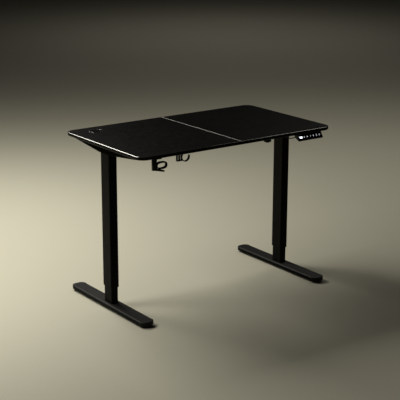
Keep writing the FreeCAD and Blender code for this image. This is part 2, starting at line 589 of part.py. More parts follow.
def makeArm(side, sign):
    """A folded channel under the board, open below, deepest over the column and tapered to both ends."""
    arm = newBody(f"arm_{side}_folded")
    profile = newSketch(arm, f"arm_{side}_profile", "YZ_Plane")
    polygon(profile, (
        ("-armLong / 2", 0), ("-armLong / 2", "-armTip"), ("-armFlat", "-armDeep"),
        ("armFlat", "-armDeep"), ("armLong / 2", "-armTip"), ("armLong / 2", 0),
    ))
    pad(arm, profile, "outerWide", middle=True)
    inside = newSketch(arm, f"arm_{side}_inside", "XZ_Plane")
    polygon(inside, (
        ("armWall - outerWide / 2", "-armWall"), ("armWall - outerWide / 2", "-armDeep - 1"),
        ("outerWide / 2 - armWall", "-armDeep - 1"), ("outerWide / 2 - armWall", "-armWall"),
    ))
    pocket(arm, inside, "armLong + 2", middle=True)
    put(arm, f"{sign} * columnX", 0, boardUnder)
    web = f"{boardUnder} - armWall - 0.5"
    tools = [
        rod(f"arm_{side}_hole_{n}", "screwShank", "armWall + 1", x, y, web)
        for n, (x, y) in enumerate(armScrewSpots(sign))
    ]
    inner = f"{sign} * (columnX - outerWide / 2 + armWall / 2) - armWall"
    tools.append(rodAlongX(f"arm_{side}_shaft_way", "hexRound + 2", "2 * armWall", inner, 0, shaftZ))
    for way in (-1, 1):
        tools.append(rodAlongX(f"arm_{side}_rail_hole_{way + 1}", "boltRound", "2 * armWall", inner,
                               f"{way} * railY", f"{boardUnder} - armWall - railTall / 2"))
    keep(f"side_bracket_{side}", cut(f"side_bracket_{side}_drilled", arm, tools))


def makeFrame():
    """Side arms, the two cross rails between them and the bolts that hold the rails."""
    for side, sign in sides:
        makeArm(side, sign)
    bolts = []
    reach = "(columnX - outerWide / 2)"
    middle = f"({boardUnder} - armWall - railTall / 2)"
    for label, way in (("front", -1), ("rear", 1)):
        y = f"{way} * railY"
        rail = box(f"rail_{label}_outer", f"2 * {reach}", "railDeep", "railTall", 0, y,
                   f"{middle} - railTall / 2")
        hollow = box(f"rail_{label}_hollow", f"2 * {reach} - 2 * railEnd", "railDeep - 2 * railWall",
                     "railTall - 2 * railWall", 0, y, f"{middle} - railTall / 2 + railWall")
        tools = [hollow]
        for side, sign in sides:
            start = f"{sign} * {reach} - railEnd - 1"
            tools.append(rodAlongX(f"rail_{label}_{side}_tap", "boltRound", "2 * railEnd + 2", start, y,
                                   middle))
            head = rodAlongX(f"rail_{label}_{side}_head", "boltHead - 1", "boltHeadTall",
                             f"{sign} * ({reach} + armWall + boltHeadTall / 2) - boltHeadTall / 2", y,
                             middle)
            shank = rodAlongX(f"rail_{label}_{side}_shank", "boltRound", "armWall + railEnd + 8",
                              f"{sign} * ({reach} + armWall / 2 - railEnd / 2 - 4) - armWall / 2 - railEnd / 2 - 4",
                              y, middle)
            bolts.append(fuse(f"rail_{label}_{side}_bolt", [head, shank]))
        keep(f"cross_rail_{label}", cut(f"cross_rail_{label}", rail, tools))
    keep("frame_bolts", group("frame_bolts", bolts))


def makeMotor():
    """The worm gearbox under the board and the motor that hangs from it, inboard of the right column."""
    depth, centre = "(motorBoxFront + motorBoxBack)", "((motorBoxBack - motorBoxFront) / 2)"
    block = box("motor_box_block", "motorWide", depth, f"{boardUnder} - motorBoxBottom", "motorX", centre,
                "motorBoxBottom")
    wheelRoom = rodAlongX("motor_box_wheel_room", "wheelRound + 1", "wheelWide + 2",
                          "motorX - wheelWide / 2 - 1", 0,
                          shaftZ)
    shaftWay = rodAlongX("motor_box_shaft_way", "hexRound + shaftPlay", "motorWide + 2",
                         "motorX - motorWide / 2 - 1", 0,
                         shaftZ)
    wormRoom = rod("motor_box_worm_room", "wormRound + 0.8", "2 * wormHalf + 4", "motorX", "-wormY",
                   f"{shaftZ} - wormHalf - 2")
    stemWay = rod("motor_box_stem_way", "motorShaft + 0.5", 20, "motorX", "-wormY", "motorBoxBottom - 1")
    keep("motor_gearbox", cut("motor_gearbox_cast", block, [wheelRoom, shaftWay, wormRoom, stemWay]))
    can = rod("motor_can_outer", "motorRound", "motorBoxBottom - motorBottom", "motorX", "-wormY",
              "motorBottom")
    boss = rod("motor_can_boss", "bossRound", "bossTall + 1", "motorX", "-wormY", "motorBottom - bossTall")
    room = rod("motor_can_room", "motorRound - motorWall", "motorBoxBottom - motorBottom - motorWall",
               "motorX",
               "-wormY", "motorBottom + motorWall")
    keep("motor_can", cut("motor_can_hollow", fuse("motor_can_solid", [can, boss]), [room]))


def makeGrommet():
    """A sleeve through the board with a flange, and a lid that rests on a ledge and has a cable notch."""
    x, y = "grommetX", "grommetY"
    inside = "(grommetHole - sleeveWall - 0.1)"
    flange = rod("grommet_flange", "grommetFlange", "flangeTall", x, y, "deskTall")
    barrel = rod("grommet_barrel", "grommetHole - 0.1", "sleeveLong", x, y, "deskTall - sleeveLong")
    well = rod("grommet_well", inside, "flangeTall + capDrop", x, y, "deskTall - capDrop")
    way = rod("grommet_way", f"{inside} - ledgeWide", "sleeveLong + 1", x, y, "deskTall - sleeveLong - 1")
    lower = rod("grommet_lower", inside, "sleeveLong - capDrop - 2", x, y, "deskTall - sleeveLong")
    keep("grommet_sleeve", cut("grommet_turned", fuse("grommet_solid", [flange, barrel]),
                               [well, way, lower]))
    lid = rod("grommet_lid", f"{inside} - lidGap", "flangeTall + capDrop - 0.2", x, y,
              "deskTall - capDrop + 0.05")
    notch = box("grommet_notch", "notchWide", "notchDeep", 10, x,
                f"grommetY - {inside} + notchDeep / 2 - 1",
                "deskTall - capDrop - 1")
    keep("grommet_cap", cut("grommet_cap_notched", lid, [notch]))


def onFace(thing, across, up, out=0):
    """Lays a piece on the controller's slope: across the desk, up the slope, and out of it."""
    run, rise = value("faceRun"), value("faceRise")
    along = Vector(0, run, rise).normalize()
    normal = Vector(0, -along.z, along.y)
    base = Vector(value("handX") + across, value("lipY"), value(f"{boardUnder} - lipDrop"))
    frame = Rotation(Vector(1, 0, 0), along, normal, "XYZ")
    thing.Placement = Placement(base + along * up + normal * out, frame)
    return thing


def slab(name, wide, tall, thick, across, up, out):
    """A block whose front lies out of the slope by a height, with its middle at a place on the slope."""
    block = bind(doc.addObject("Part::Box", name), Length=wide, Width=tall, Height=thick)
    return onFace(block, across - value(wide) / 2, up - value(tall) / 2, out - value(thick))


def makeController():
    """A wedge under the front edge: housing, face plate, display window and six keys."""
    wedge = newBody("controller_wedge")
    profile = newSketch(wedge, "controller_profile", "YZ_Plane")
    under = boardUnder
    polygon(profile, (
        ("lipY", f"{under} - lipDrop"), ("lipY + faceRun", under), ("handBack", under),
        ("handBack", f"{under} - handBackTall"), ("lipY + 3", f"{under} - lipDrop - 2"),
    ))
    pad(wedge, profile, "handWide", middle=True)
    put(wedge, "handX", 0, 0)
    room = newBody("controller_room")
    hollow = newSketch(room, "controller_room_profile", "YZ_Plane")
    polygon(hollow, (
        ("lipY + 4", f"{under} - lipDrop + 2"), ("lipY + faceRun + 2", f"{under} - handWall"),
        ("handBack - handWall", f"{under} - handWall"),
        ("handBack - handWall", f"{under} - handBackTall + handWall"),
        ("lipY + 6", f"{under} - lipDrop + 1"),
    ))
    pad(room, hollow, "handWide - 2 * handWall", middle=True)
    put(room, "handX", 0, 0)
    middle = value("faceTall") / 2 + 2
    recess = slab("controller_recess", "faceWide + 2 * recessGap", "faceTall + 2 * recessGap",
                  "plateInset", 0, middle,
                  value("recessGap"))
    opening = slab("controller_opening", "faceWide - 2 * faceLap", "faceTall - 2 * faceLap", 5, 0, middle,
                   0)
    exitHole = rod("controller_cable_way", "cableHole", "2 * handWall", "cableExit", "handBack + overlap",
                   f"{under} - handBackTall / 2", Vector(1, 0, 0), 90)
    keep("controller_housing", cut("controller_shell", wedge, [room, recess, opening, exitHole]))
    plate = slab("controller_plate", "faceWide", "faceTall", "faceThick", 0, middle, 0)
    window = slab("controller_window", "windowWide", "windowTall", "windowThick", value("windowX"),
                  middle, 0)
    behind = slab("controller_window_way", "windowWide - 2 * windowLap", "windowTall - 2 * windowLap", 6,
                  value("windowX"), middle, 1)
    tools = [slab("controller_window_seat", "windowWide", "windowTall", "windowThick + 0.5",
                  value("windowX"),
                  middle, 0.5), behind]
    names = ("up", "down", "one", "two", "three", "lock")
    for n, key in enumerate(names):
        across = value(f"firstButton + {n} * buttonPitch")
        tools.append(slab(f"key_way_{key}", "buttonWide + 2 * buttonGap", "buttonTall + 2 * buttonGap", 6,
                          across,
                          middle, 1))
        keep(f"button_{key}", slab(f"button_{key}", "buttonWide", "buttonTall", "buttonThick", across,
                                   middle,
                                   value("buttonProud")))
    keep("controller_face", cut("controller_face_cut", plate, tools))
    keep("display_window", window)


def makeControlBox():
    """A plastic case under the board with the mains inlet on its left end."""
    case = newBody("control_box_case")
    block = case.newObject("PartDesign::AdditiveBox", "control_box_block")
    bind(block, Length="powerWide", Width="powerDeep", Height="powerTall")
    put(block, "-powerWide / 2", "-powerDeep / 2", "-powerTall")
    case.Tip = block
    tall = value("powerTall")
    upright = lambda b: b.ZLength > tall - 0.1
    roundEdges(case, upright, "powerRound")
    below = lambda b: b.ZMax < 0.1 - tall
    roundEdges(case, below, "powerEdge")
    put(case, "powerX", "powerY", boardUnder)
    leftEnd, middle = "powerX - powerWide / 2", f"{boardUnder} - powerTall / 2"
    room = box("control_box_room", "powerWide - 2 * powerInset", "powerDeep - 2 * powerInset + 5",
               "powerTall - powerWall - 1", "powerX", "powerY", f"{boardUnder} - powerTall + powerWall")
    inletWay = box("control_box_inlet_way", "inletLong - inletOut", "inletWide", "inletTall",
                   f"{leftEnd} + (inletLong - inletOut) / 2", "powerY", f"{middle} - inletTall / 2")
    cableWay = rodAlongX("control_box_cable_way", "cableHole", 12, "powerX + powerWide / 2 - 11",
                         "powerCableY", middle)
    keep("control_box", cut("control_box_hollow", case, [room, inletWay, cableWay]))
    shell = box("inlet_shell", "inletLong", "inletWide", "inletTall",
                f"{leftEnd} + inletLong / 2 - inletOut", "powerY",
                f"{middle} - inletTall / 2")
    socket = box("inlet_socket", "inletLong - inletWall", "inletWide - 2 * inletWall",
                 "inletTall - 2 * inletWall",
                 f"{leftEnd} + (inletLong - inletWall) / 2 - inletOut", "powerY",
                 f"{middle} - inletTall / 2 + inletWall")
    hollow = cut("inlet_hollow", shell, [socket])
    pinStart = f"{leftEnd} + inletLong - inletWall - inletOut + 1 - pinLong"
    pins = [
        rodAlongX(f"inlet_pin_{n}", "pinRound", "pinLong", pinStart, f"powerY + {way} * pinPitch / 2",
                  middle)
        for n, way in enumerate((-1, 1))
    ]
    keep("power_inlet", fuse("power_inlet", [hollow] + pins))


def cordTube(route, radius):
    """A round tube on straight runs joined by tangent arcs; returns its solid, radii and length."""
    points = [Vector(*point) for point in route]
    edges, radii, start = [], [], points[0]
    for before, corner, after in zip(points, points[1:], points[2:]):
        back, ahead = before - corner, after - corner
        reach = 0.45 * min(back.Length, ahead.Length)
        halfTurn = (math.pi - back.getAngle(ahead)) / 2
        bend = reach / math.tan(halfTurn)
        back.normalize()
        ahead.normalize()
        inward = (back + ahead).normalize()
        first, last = corner + back * reach, corner + ahead * reach
        middle = corner + inward * (bend / math.cos(halfTurn) - bend)
        edges.append(Part.LineSegment(start, first).toShape())
        edges.append(Part.Arc(first, middle, last).toShape())
        radii.append(round(bend, 1))
        start = last
    edges.append(Part.LineSegment(start, points[-1]).toShape())
    path = Part.Wire(edges)
    section = Part.Wire(Part.Circle(points[0], points[1] - points[0], radius).toShape())
    return path.makePipeShell([section], True, False), radii, path.Length


controllerCableRoute = (
    (345, -280, 706), (345, -266, 704), (341, -254, 696), (332, -246, 688), (320, -239, 685),
    (309, -230, 689), (305, -217, 696), (308, -203, 701), (312, -190, 702), (311, -175, 701),
    (305, -162, 699), (296, -153, 698), (284, -150, 698),
)


def makeCable():
    """The lead between the controller and the control box, which hangs in one loop."""
    tube, radii, length = cordTube(controllerCableRoute, value("cableRound"))
    print("controller cable radii", radii, "length", round(length, 1))
    section = math.pi * value("cableRound") ** 2
    print("controller cable volume", round(tube.Volume, 1), "section times length",
          round(section * length, 1))
    lead = doc.addObject("Part::Feature", "controller_cable")
    lead.Shape = tube
    keep("controller_cable", lead)


def makeHooks():
    """Two moulded hooks under the board: one closed to an eye for a bag, one open for headphones."""
    plate = box("bag_hook_plate", "2 * stemWide", "hookDeep + 9", "hookPlate", "stemX + stemWide / 2",
                "stemY",
                f"{boardUnder} - hookPlate")
    stem = box("bag_hook_stem", "stemWide", "hookDeep", "stemTall", "stemX", "stemY",
               f"{boardUnder} - stemTall")
    eye = newBody("bag_hook_eye")
    section = newSketch(eye, "bag_hook_eye_section", "XZ_Plane")
    ring(section, "eyeWide", "eyeTall", "eyeRound", "hookWall")
    pad(eye, section, "hookDeep", middle=True)
    put(eye, "eyeX", "stemY", f"{boardUnder} - eyeDrop")
    tongue = bind(doc.addObject("Part::Box", "bag_hook_tongue"), Length="tongueLong", Width="hookDeep",
                  Height="tongueThick")
    put(tongue, "stemX - stemWide / 2 + 1.5", "stemY - hookDeep / 2", f"{boardUnder} - stemTall - 1",
        Vector(0, 1, 0), value("tongueLean"))
    keep("bag_hook", fuse("bag_hook", [plate, stem, eye, tongue]))
    pieces = [box("headphone_hook_plate", "4 * ribPitch", "hookDeep + 9", "hookPlate", "ribsX", "ribsY",
                  f"{boardUnder} - hookPlate")]
    for n in (-1, 0, 1):
        pieces.append(box(f"headphone_hook_rib_{n + 1}", "ribThick", "hookDeep - 3", "ribTall",
                          f"ribsX + {n} * ribPitch", "ribsY", f"{boardUnder} - ribTall"))
    pieces.append(box("headphone_hook_foot", "2 * ribPitch + ribThick", "hookDeep - 3", "hookWall",
                      "ribsX", "ribsY",
                      f"{boardUnder} - ribTall"))
    front = "ribsY + (hookDeep - 3) / 2"
    drop = f"{boardUnder} - crookDrop"
    outside = rod("crook_outside", "crookRound", "hookDeep - 3", "crookX", front, drop, Vector(1, 0, 0), 90)
    inside = rod("crook_inside", "crookRound - hookWall", "hookDeep - 3", "crookX", front, drop,
                 Vector(1, 0, 0), 90)
    mouth = box("crook_mouth", "2 * crookRound", "hookDeep", "crookRound + 1", "crookX + crookRound / 2",
                "ribsY",
                f"{drop} + 4")
    pieces.append(cut("crook", outside, [inside, mouth]))
    keep("headphone_hook", fuse("headphone_hook", pieces))


makeBoard()
makeScrews()
makeFeet()
makeColumns()
makeDrive()
makeFrame()
makeMotor()
makeGrommet()
makeController()
makeControlBox()
makeCable()
makeHooks()
doc.recompute()

for thing in doc.Objects:
    if "Invalid" in thing.State or "Error" in thing.State:
        raise RuntimeError(f"{thing.Label} did not compute: {thing.State}")
os.makedirs("parts", exist_ok=True)
for name, thing in nodes.items():
    if thing.Shape.isNull() or not thing.Shape.isValid():
        raise RuntimeError(f"{name} has no valid shape")
    thing.Shape.exportStep(f"parts/{name}.step")
print(len(nodes), "nodes written")
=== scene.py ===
import json
import math
import bpy
import numpy as np
from mathutils import Matrix, Vector


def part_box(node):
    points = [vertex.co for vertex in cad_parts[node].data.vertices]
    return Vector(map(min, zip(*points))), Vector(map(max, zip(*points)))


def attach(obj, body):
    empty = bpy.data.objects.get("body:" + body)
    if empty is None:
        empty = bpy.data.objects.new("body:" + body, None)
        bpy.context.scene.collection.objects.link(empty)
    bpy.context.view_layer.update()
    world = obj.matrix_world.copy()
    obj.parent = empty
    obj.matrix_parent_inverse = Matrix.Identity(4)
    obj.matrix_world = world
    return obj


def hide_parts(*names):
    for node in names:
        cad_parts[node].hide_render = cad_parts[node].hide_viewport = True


# Sit-stand desk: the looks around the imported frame. Metres, +Z up, -Y is the user's side.
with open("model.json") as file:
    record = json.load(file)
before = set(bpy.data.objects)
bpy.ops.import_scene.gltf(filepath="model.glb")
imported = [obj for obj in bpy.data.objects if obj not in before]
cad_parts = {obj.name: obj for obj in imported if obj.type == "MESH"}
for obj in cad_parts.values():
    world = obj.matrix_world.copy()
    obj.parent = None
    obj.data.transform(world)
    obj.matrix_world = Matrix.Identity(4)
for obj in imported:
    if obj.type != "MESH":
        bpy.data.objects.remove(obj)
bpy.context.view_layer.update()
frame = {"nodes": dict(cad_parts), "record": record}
nodes = frame["nodes"]
print("frame loaded", len(nodes), "nodes")


# camera, light and floor

cameraView = {
    "position": (-2.9745, -4.0824, 1.8517),
    "azimuth": -36.104,      # degrees round the desk, 0 looks along +Y
    "elevation": 16.006,     # degrees above the horizon
    "roll": 0.149,
    "lens": 106.35,          # mm on a 36 mm sensor
}
studio = {
    "key": {"place": (-0.6, 1.7, 2.2), "size": (1.3, 1.4), "power": 50, "aim": (-0.6, 1.1, 0), "spread": 180},
    "low": {"place": (-1.6, 0.4, 1.6), "size": (0.7, 0.7), "power": 13, "aim": (-1.4, 0.4, 0), "spread": 170},
    "right": {"place": (2.6, 1.2, 2.6), "size": (1.5, 1.5), "power": 11, "aim": (2.6, 1.25, 0),
              "spread": 180},
    "far": {"place": (4.9, 6.2, 3.3), "size": (3, 3), "power": 5.5, "aim": (4.9, 6.25, 0), "spread": 115},
    "lightColour": (1.0, 0.965, 0.86),
    "roomColour": (0.34, 0.335, 0.28), "roomStrength": 0.02,
    "floorColour": (0.66, 0.64, 0.53), "floorReach": 40.0,
}


def placeCamera():
    a, e, r = (math.radians(cameraView[key]) for key in ("azimuth", "elevation", "roll"))
    back = Vector((math.sin(a) * math.cos(e), -math.cos(a) * math.cos(e), math.sin(e)))
    right = Vector((0, 0, 1)).cross(back).normalized()
    up = back.cross(right)
    right, up = math.cos(r) * right + math.sin(r) * up, math.cos(r) * up - math.sin(r) * right
    data = bpy.data.cameras.new("camera")
    data.lens = cameraView["lens"]
    data.sensor_width = 36.0
    camera = bpy.data.objects.new("camera", data)
    turn = Matrix((right, up, back)).transposed()
    camera.matrix_world = Matrix.Translation(cameraView["position"]) @ turn.to_4x4()
    bpy.context.scene.collection.objects.link(camera)
    bpy.context.scene.camera = camera


def placeLight(name):
    lamp = studio[name]
    data = bpy.data.lights.new(name + "Light", "AREA")
    data.shape = "RECTANGLE"
    data.size, data.size_y = lamp["size"]
    data.energy = lamp["power"]
    data.color = studio["lightColour"]
    data.spread = math.radians(lamp["spread"])
    holder = bpy.data.objects.new(name + "Light", data)
    turn = (Vector(lamp["aim"]) - Vector(lamp["place"])).to_track_quat("-Z", "Y").to_matrix()
    holder.matrix_world = Matrix.Translation(lamp["place"]) @ turn.to_4x4()
    holder.visible_camera = False
    bpy.context.scene.collection.objects.link(holder)


def lightRoom():
    for name in ("key", "low", "right", "far"):
        placeLight(name)
    world = bpy.data.worlds.new("room")
    bpy.context.scene.world = world
    world.use_nodes = True
    backdrop = world.node_tree.nodes["Background"]
    backdrop.inputs["Color"].default_value = (*studio["roomColour"], 1)
    backdrop.inputs["Strength"].default_value = studio["roomStrength"]
    bpy.context.scene.view_settings.view_transform = "Standard"   # keeps the blacks deep


def layFloor():
    reach = studio["floorReach"]
    mesh = bpy.data.meshes.new("floor")
    corners = [(-reach, -reach, 0), (reach, -reach, 0), (reach, reach, 0), (-reach, reach, 0)]
    mesh.from_pydata(corners, [], [(0, 1, 2, 3)])
    floor = bpy.data.objects.new("floor", mesh)
    bpy.context.scene.collection.objects.link(floor)
    material = bpy.data.materials.new("floorPaint")
    material.use_nodes = True
    shader = material.node_tree.nodes["Principled BSDF"]
    shader.inputs["Base Color"].default_value = (*studio["floorColour"], 1)
    shader.inputs["Roughness"].default_value = 0.8
    shader.inputs["Specular IOR Level"].default_value = 0.2
    mesh.materials.append(material)


placeCamera()
lightRoom()
layFloor()
print("camera, lights and floor placed")


# materials: every one has colour drift, a roughness that varies and a fine bump

def addNode(tree, kind, inputs=None, **settings):
    node = tree.nodes.new(kind)
    for key, setting in settings.items():
        setattr(node, key, setting)
    for key, content in (inputs or {}).items():
        if isinstance(content, bpy.types.NodeSocket):
            tree.links.new(content, node.inputs[key])
        else:
            node.inputs[key].default_value = content
    return node


def grain(tree, scale, stretch=(1, 1, 1), detail=4.0):
    # noise on the object's own coordinates; stretch divides the pattern's length along each axis
    place = addNode(tree, "ShaderNodeTexCoord").outputs["Object"]
    mapped = addNode(tree, "ShaderNodeMapping", {"Vector": place, "Scale": stretch}).outputs["Vector"]
    noise = addNode(tree, "ShaderNodeTexNoise", {"Vector": mapped, "Scale": scale, "Detail": detail})
    return noise.outputs["Fac"]


def spread(tree, source, low, high):
    # carries a pattern that runs between about 0.3 and 0.7 onto a range of values
    inputs = {"Value": source, "From Min": 0.3, "From Max": 0.7, "To Min": low, "To Max": high}
    return addNode(tree, "ShaderNodeMapRange", inputs).outputs["Result"]


texture = {
    "driftScale": 9.0, "roughScale": 60, "bumpDetail": 3.0, "wearScale": 160, "wearRadius": 0.0012,
    "wearFrom": 0.86,   # cosine between the flat and the rounded normal where an edge is fully worn
    "wearColour": (0.12, 0.12, 0.12),
}


def finish(name, colour, drift, rough, bumps, metal=0.0, wear=0.0, specular=0.5, **sockets):
    # the colour drifts slowly, the roughness follows a finer pattern, and the bump adds several noises,
    # each given as scale, stretch and height in metres; wear lightens rounded edges
    t = texture
    material = bpy.data.materials.new(name)
    material.use_nodes = True
    tree = material.node_tree
    shader = tree.nodes["Principled BSDF"]
    slow = spread(tree, grain(tree, t["driftScale"]), 1.0 - drift, 1.0 + drift)
    tinted = addNode(tree, "ShaderNodeVectorMath", {0: colour, "Scale": slow}, operation="SCALE")
    tint = tinted.outputs["Vector"]
    if wear:
        flat = addNode(tree, "ShaderNodeNewGeometry").outputs["Normal"]
        rounded = addNode(tree, "ShaderNodeBevel", {"Radius": t["wearRadius"]}, samples=4).outputs["Normal"]
        along = addNode(tree, "ShaderNodeVectorMath", {0: flat, 1: rounded}, operation="DOT_PRODUCT")
        limits = {"Value": along.outputs["Value"], "From Min": 1.0, "From Max": t["wearFrom"]}
        edge = addNode(tree, "ShaderNodeMapRange", limits).outputs["Result"]
        patches = spread(tree, grain(tree, t["wearScale"]), 0.1, 1.0)
        patchy = addNode(tree, "ShaderNodeMath", {0: edge, 1: patches}, operation="MULTIPLY").outputs["Value"]
        amount = addNode(tree, "ShaderNodeMath", {0: patchy, 1: wear}, operation="MULTIPLY").outputs["Value"]
        blend = {"Factor": amount, "A": tint, "B": t["wearColour"]}
        tint = addNode(tree, "ShaderNodeMix", blend, data_type="VECTOR").outputs["Result"]
    tree.links.new(tint, shader.inputs["Base Color"])
    tree.links.new(spread(tree, grain(tree, t["roughScale"]), *rough), shader.inputs["Roughness"])
    normal = None
    for scale, stretch, height in bumps:
        inputs = {"Height": grain(tree, scale, stretch, t["bumpDetail"]), "Distance": height}
        if normal:
            inputs["Normal"] = normal
        normal = addNode(tree, "ShaderNodeBump", inputs).outputs["Normal"]
    tree.links.new(normal, shader.inputs["Normal"])
    shader.inputs["Metallic"].default_value = metal
    shader.inputs["Specular IOR Level"].default_value = specular
    for key, content in sockets.items():
        shader.inputs[key].default_value = content
    return material


def glow(colour, strength):
    return {"Emission Color": (*colour, 1.0), "Emission Strength": strength}


even = (1, 1, 1)
powderBumps = ((420, even, 0.00008), (1500, even, 0.00003))
glassBumps = ((120, even, 0.00001),)
markBumps = ((200, even, 0.00001),)
polish = {"Coat Weight": 1.0, "Coat Roughness": 0.16, "Coat IOR": 2.0}
finishes = {
    "board_laminate": finish("blackLaminate", (0.0018, 0.0018, 0.0017), 0.3, (0.38, 0.5),
                             ((340, (0.05, 1, 1), 0.00006), (1400, even, 0.00002)), specular=0.07),
    "edge_band": finish("bandPlastic", (0.003, 0.003, 0.003), 0.15, (0.3, 0.4), ((500, even, 0.00001),),
                        wear=0.1, specular=0.08),
    "powder_coat": finish("powderCoat", (0.0034, 0.0034, 0.0034), 0.2, (0.34, 0.46), powderBumps,
                          wear=0.1, specular=0.05),
    "black_plastic": finish("mouldedPlastic", (0.0045, 0.0045, 0.0045), 0.15, (0.38, 0.5),
                            ((1800, even, 0.00005),), wear=0.2, specular=0.16),
    "gloss_plastic": finish("glossPlastic", (0.006, 0.006, 0.0065), 0.1, (0.12, 0.2), glassBumps),
    "display": finish("displayWindow", (0.006, 0.0065, 0.008), 0.1, (0.05, 0.1), glassBumps),
    "zinc_steel": finish("zincSteel", (0.5, 0.5, 0.51), 0.12, (0.25, 0.42), ((900, (1, 1, 6), 0.00002),),
                         metal=1.0),
    "brass": finish("turnedBrass", (0.7, 0.5, 0.2), 0.12, (0.2, 0.35), ((900, (8, 1, 1), 0.00002),),
                    metal=1.0),
    "nylon": finish("naturalNylon", (0.74, 0.72, 0.66), 0.06, (0.4, 0.5), ((700, even, 0.00003),)),
    "cast_alloy": finish("castAlloy", (0.42, 0.42, 0.43), 0.15, (0.45, 0.6), ((650, even, 0.00015),),
                         metal=1.0),
    "rubber": finish("padRubber", (0.008, 0.008, 0.008), 0.2, (0.7, 0.85), ((1100, even, 0.00006),),
                     specular=0.16),
    "cable": finish("cableSheath", (0.010, 0.010, 0.010), 0.15, (0.42, 0.52), ((1500, even, 0.00003),),
                    specular=0.16),
    # a lighter copy of the powder coat for the feet's upper faces: painted light on the lit tops, with a real
    # satin sheen
    "footTopPaintedLight": finish("footTopPaintedLight", (0.0050, 0.0050, 0.0054), 0.2, (0.48, 0.58), powderBumps, wear=0.1),
    # a lighter black than the band (0.02 against 0.003) under a clear coat: the lighter colour is a painted
    # highlight on the round-over and the grommet, the coat is real gloss
    "edgePaintedHighlight": finish("edgePaintedHighlight", (0.02, 0.02, 0.02), 0.15, (0.16, 0.24), ((500, even, 0.000004),),
                          specular=1.0, **polish),
    # a lighter black on the bevels of the middle joint: a painted highlight line
    "seamPaintedHighlight": finish("seamPaintedHighlight", (0.02, 0.02, 0.02), 0.15, (0.34, 0.42), ((500, even, 0.00001),),
                       specular=1.0),
    "litMark": finish("litMark", (0.75, 0.8, 0.85), 0.05, (0.3, 0.4), markBumps,
                      **glow((0.9, 0.95, 1.0), 2.2)),
    "keyMark": finish("keyMark", (0.4, 0.4, 0.42), 0.05, (0.3, 0.4), markBumps,
                      **glow((0.92, 0.95, 1.0), 0.7)),
    "mattCoat": finish("mattCoat", (0.004, 0.004, 0.004), 0.2, (0.6, 0.7), powderBumps, wear=0.1,
                       specular=0.0),
}
slotOf = {entry["node"]: entry["material_slot"] for entry in frame["record"]["subparts"]}
# the grommet sleeve wears the lighter coated black, a painted highlight on its flange
looks = {"grommet_sleeve": "edgePaintedHighlight", "side_bracket_left": "mattCoat", "side_bracket_right": "mattCoat"}
for nodeName, node in nodes.items():
    node.data.materials.clear()
    node.data.materials.append(finishes[looks.get(nodeName, slotOf[nodeName])])


def readFaces(mesh, what):
    content = np.empty(3 * len(mesh.polygons))
    mesh.polygons.foreach_get(what, content)
    return content.reshape(-1, 3)


def secondFinish(name, finishName, chosen):
    # the chosen faces of one piece wear another finish
    mesh = nodes[name].data
    mesh.materials.append(finishes[finishName])
    mesh.polygons.foreach_set("material_index", chosen.astype(np.int32))


for nodeName in ("desktop_left_panel", "desktop_right_panel"):
    # the bevelled edges along the middle joint are smoother than the laminate and painted lighter, a painted
    # highlight line
    secondFinish(nodeName, "seamPaintedHighlight", np.abs(readFaces(nodes[nodeName].data, "center")[:, 0]) < 0.0015)
for nodeName in ("edge_band_left", "edge_band_right"):
    # the round-over is polished and painted lighter, a painted highlight line; the face of the band is dull
    upwards = readFaces(nodes[nodeName].data, "normal")[:, 2]
    secondFinish(nodeName, "edgePaintedHighlight", (upwards > 0.1) & (upwards < 0.995))
for side in ("left", "right"):
    # the upper faces of the feet are painted lighter than the sides, painted light from above, and carry a
    # satin sheen
    for nodeName in (f"foot_{side}", f"foot_cap_{side}_front", f"foot_cap_{side}_rear"):
        secondFinish(nodeName, "footTopPaintedLight", readFaces(nodes[nodeName].data, "normal")[:, 2] > 0.3)
print("finishes made", len(finishes))


# surfaces: a grid of points is rows of outlines, and each outline runs counter-clockwise about the way
# the rows go

def gridShell(grid, loop=False):
    # quads between neighbouring rows and columns; columns close up, rows close up too when it is a loop,
    # otherwise the first and last rows are capped
    rows, columns = grid.shape[:2]
    down, across = np.meshgrid(np.arange(rows if loop else rows - 1), np.arange(columns), indexing="ij")
    below, beside = (down + 1) % rows, (across + 1) % columns
    quads = np.stack([down * columns + across, down * columns + beside, below * columns + beside,
                      below * columns + across], -1).reshape(-1, 4)
    faces = quads.tolist()
    if not loop:
        last = (rows - 1) * columns
        faces += [list(range(columns))[::-1], list(range(last, last + columns))]
    return grid.reshape(-1, 3), faces


def makePiece(name, shells, finishName, body, replaced=()):
    # several closed shells in one mesh, smooth except where it turns by more than 35 degrees
    points, faces, start = [], [], 0
    for shellPoints, shellFaces in shells:
        points.append(shellPoints)
        faces += [[corner + start for corner in face] for face in shellFaces]
        start += len(shellPoints)
    mesh = bpy.data.meshes.new(name)
    mesh.from_pydata(np.concatenate(points), [], faces)
    mesh.shade_smooth()
    mesh.set_sharp_from_angle(angle=math.radians(35))
    mesh.materials.append(finishes[finishName])
    piece = bpy.data.objects.new(name, mesh)
    bpy.context.scene.collection.objects.link(piece)
    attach(piece, body)
    if replaced:
        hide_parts(*replaced)
    return piece


def turned(profile, segments=48):
    # a profile of (radius, height) carried round the upright axis
    profile = np.asarray(profile, float)
    angle = np.linspace(0, 2 * np.pi, segments, endpoint=False)
    x = profile[:, :1] * np.cos(angle)
    y = profile[:, :1] * np.sin(angle)
    return np.stack([x, y, np.broadcast_to(profile[:, 1:], x.shape)], -1)


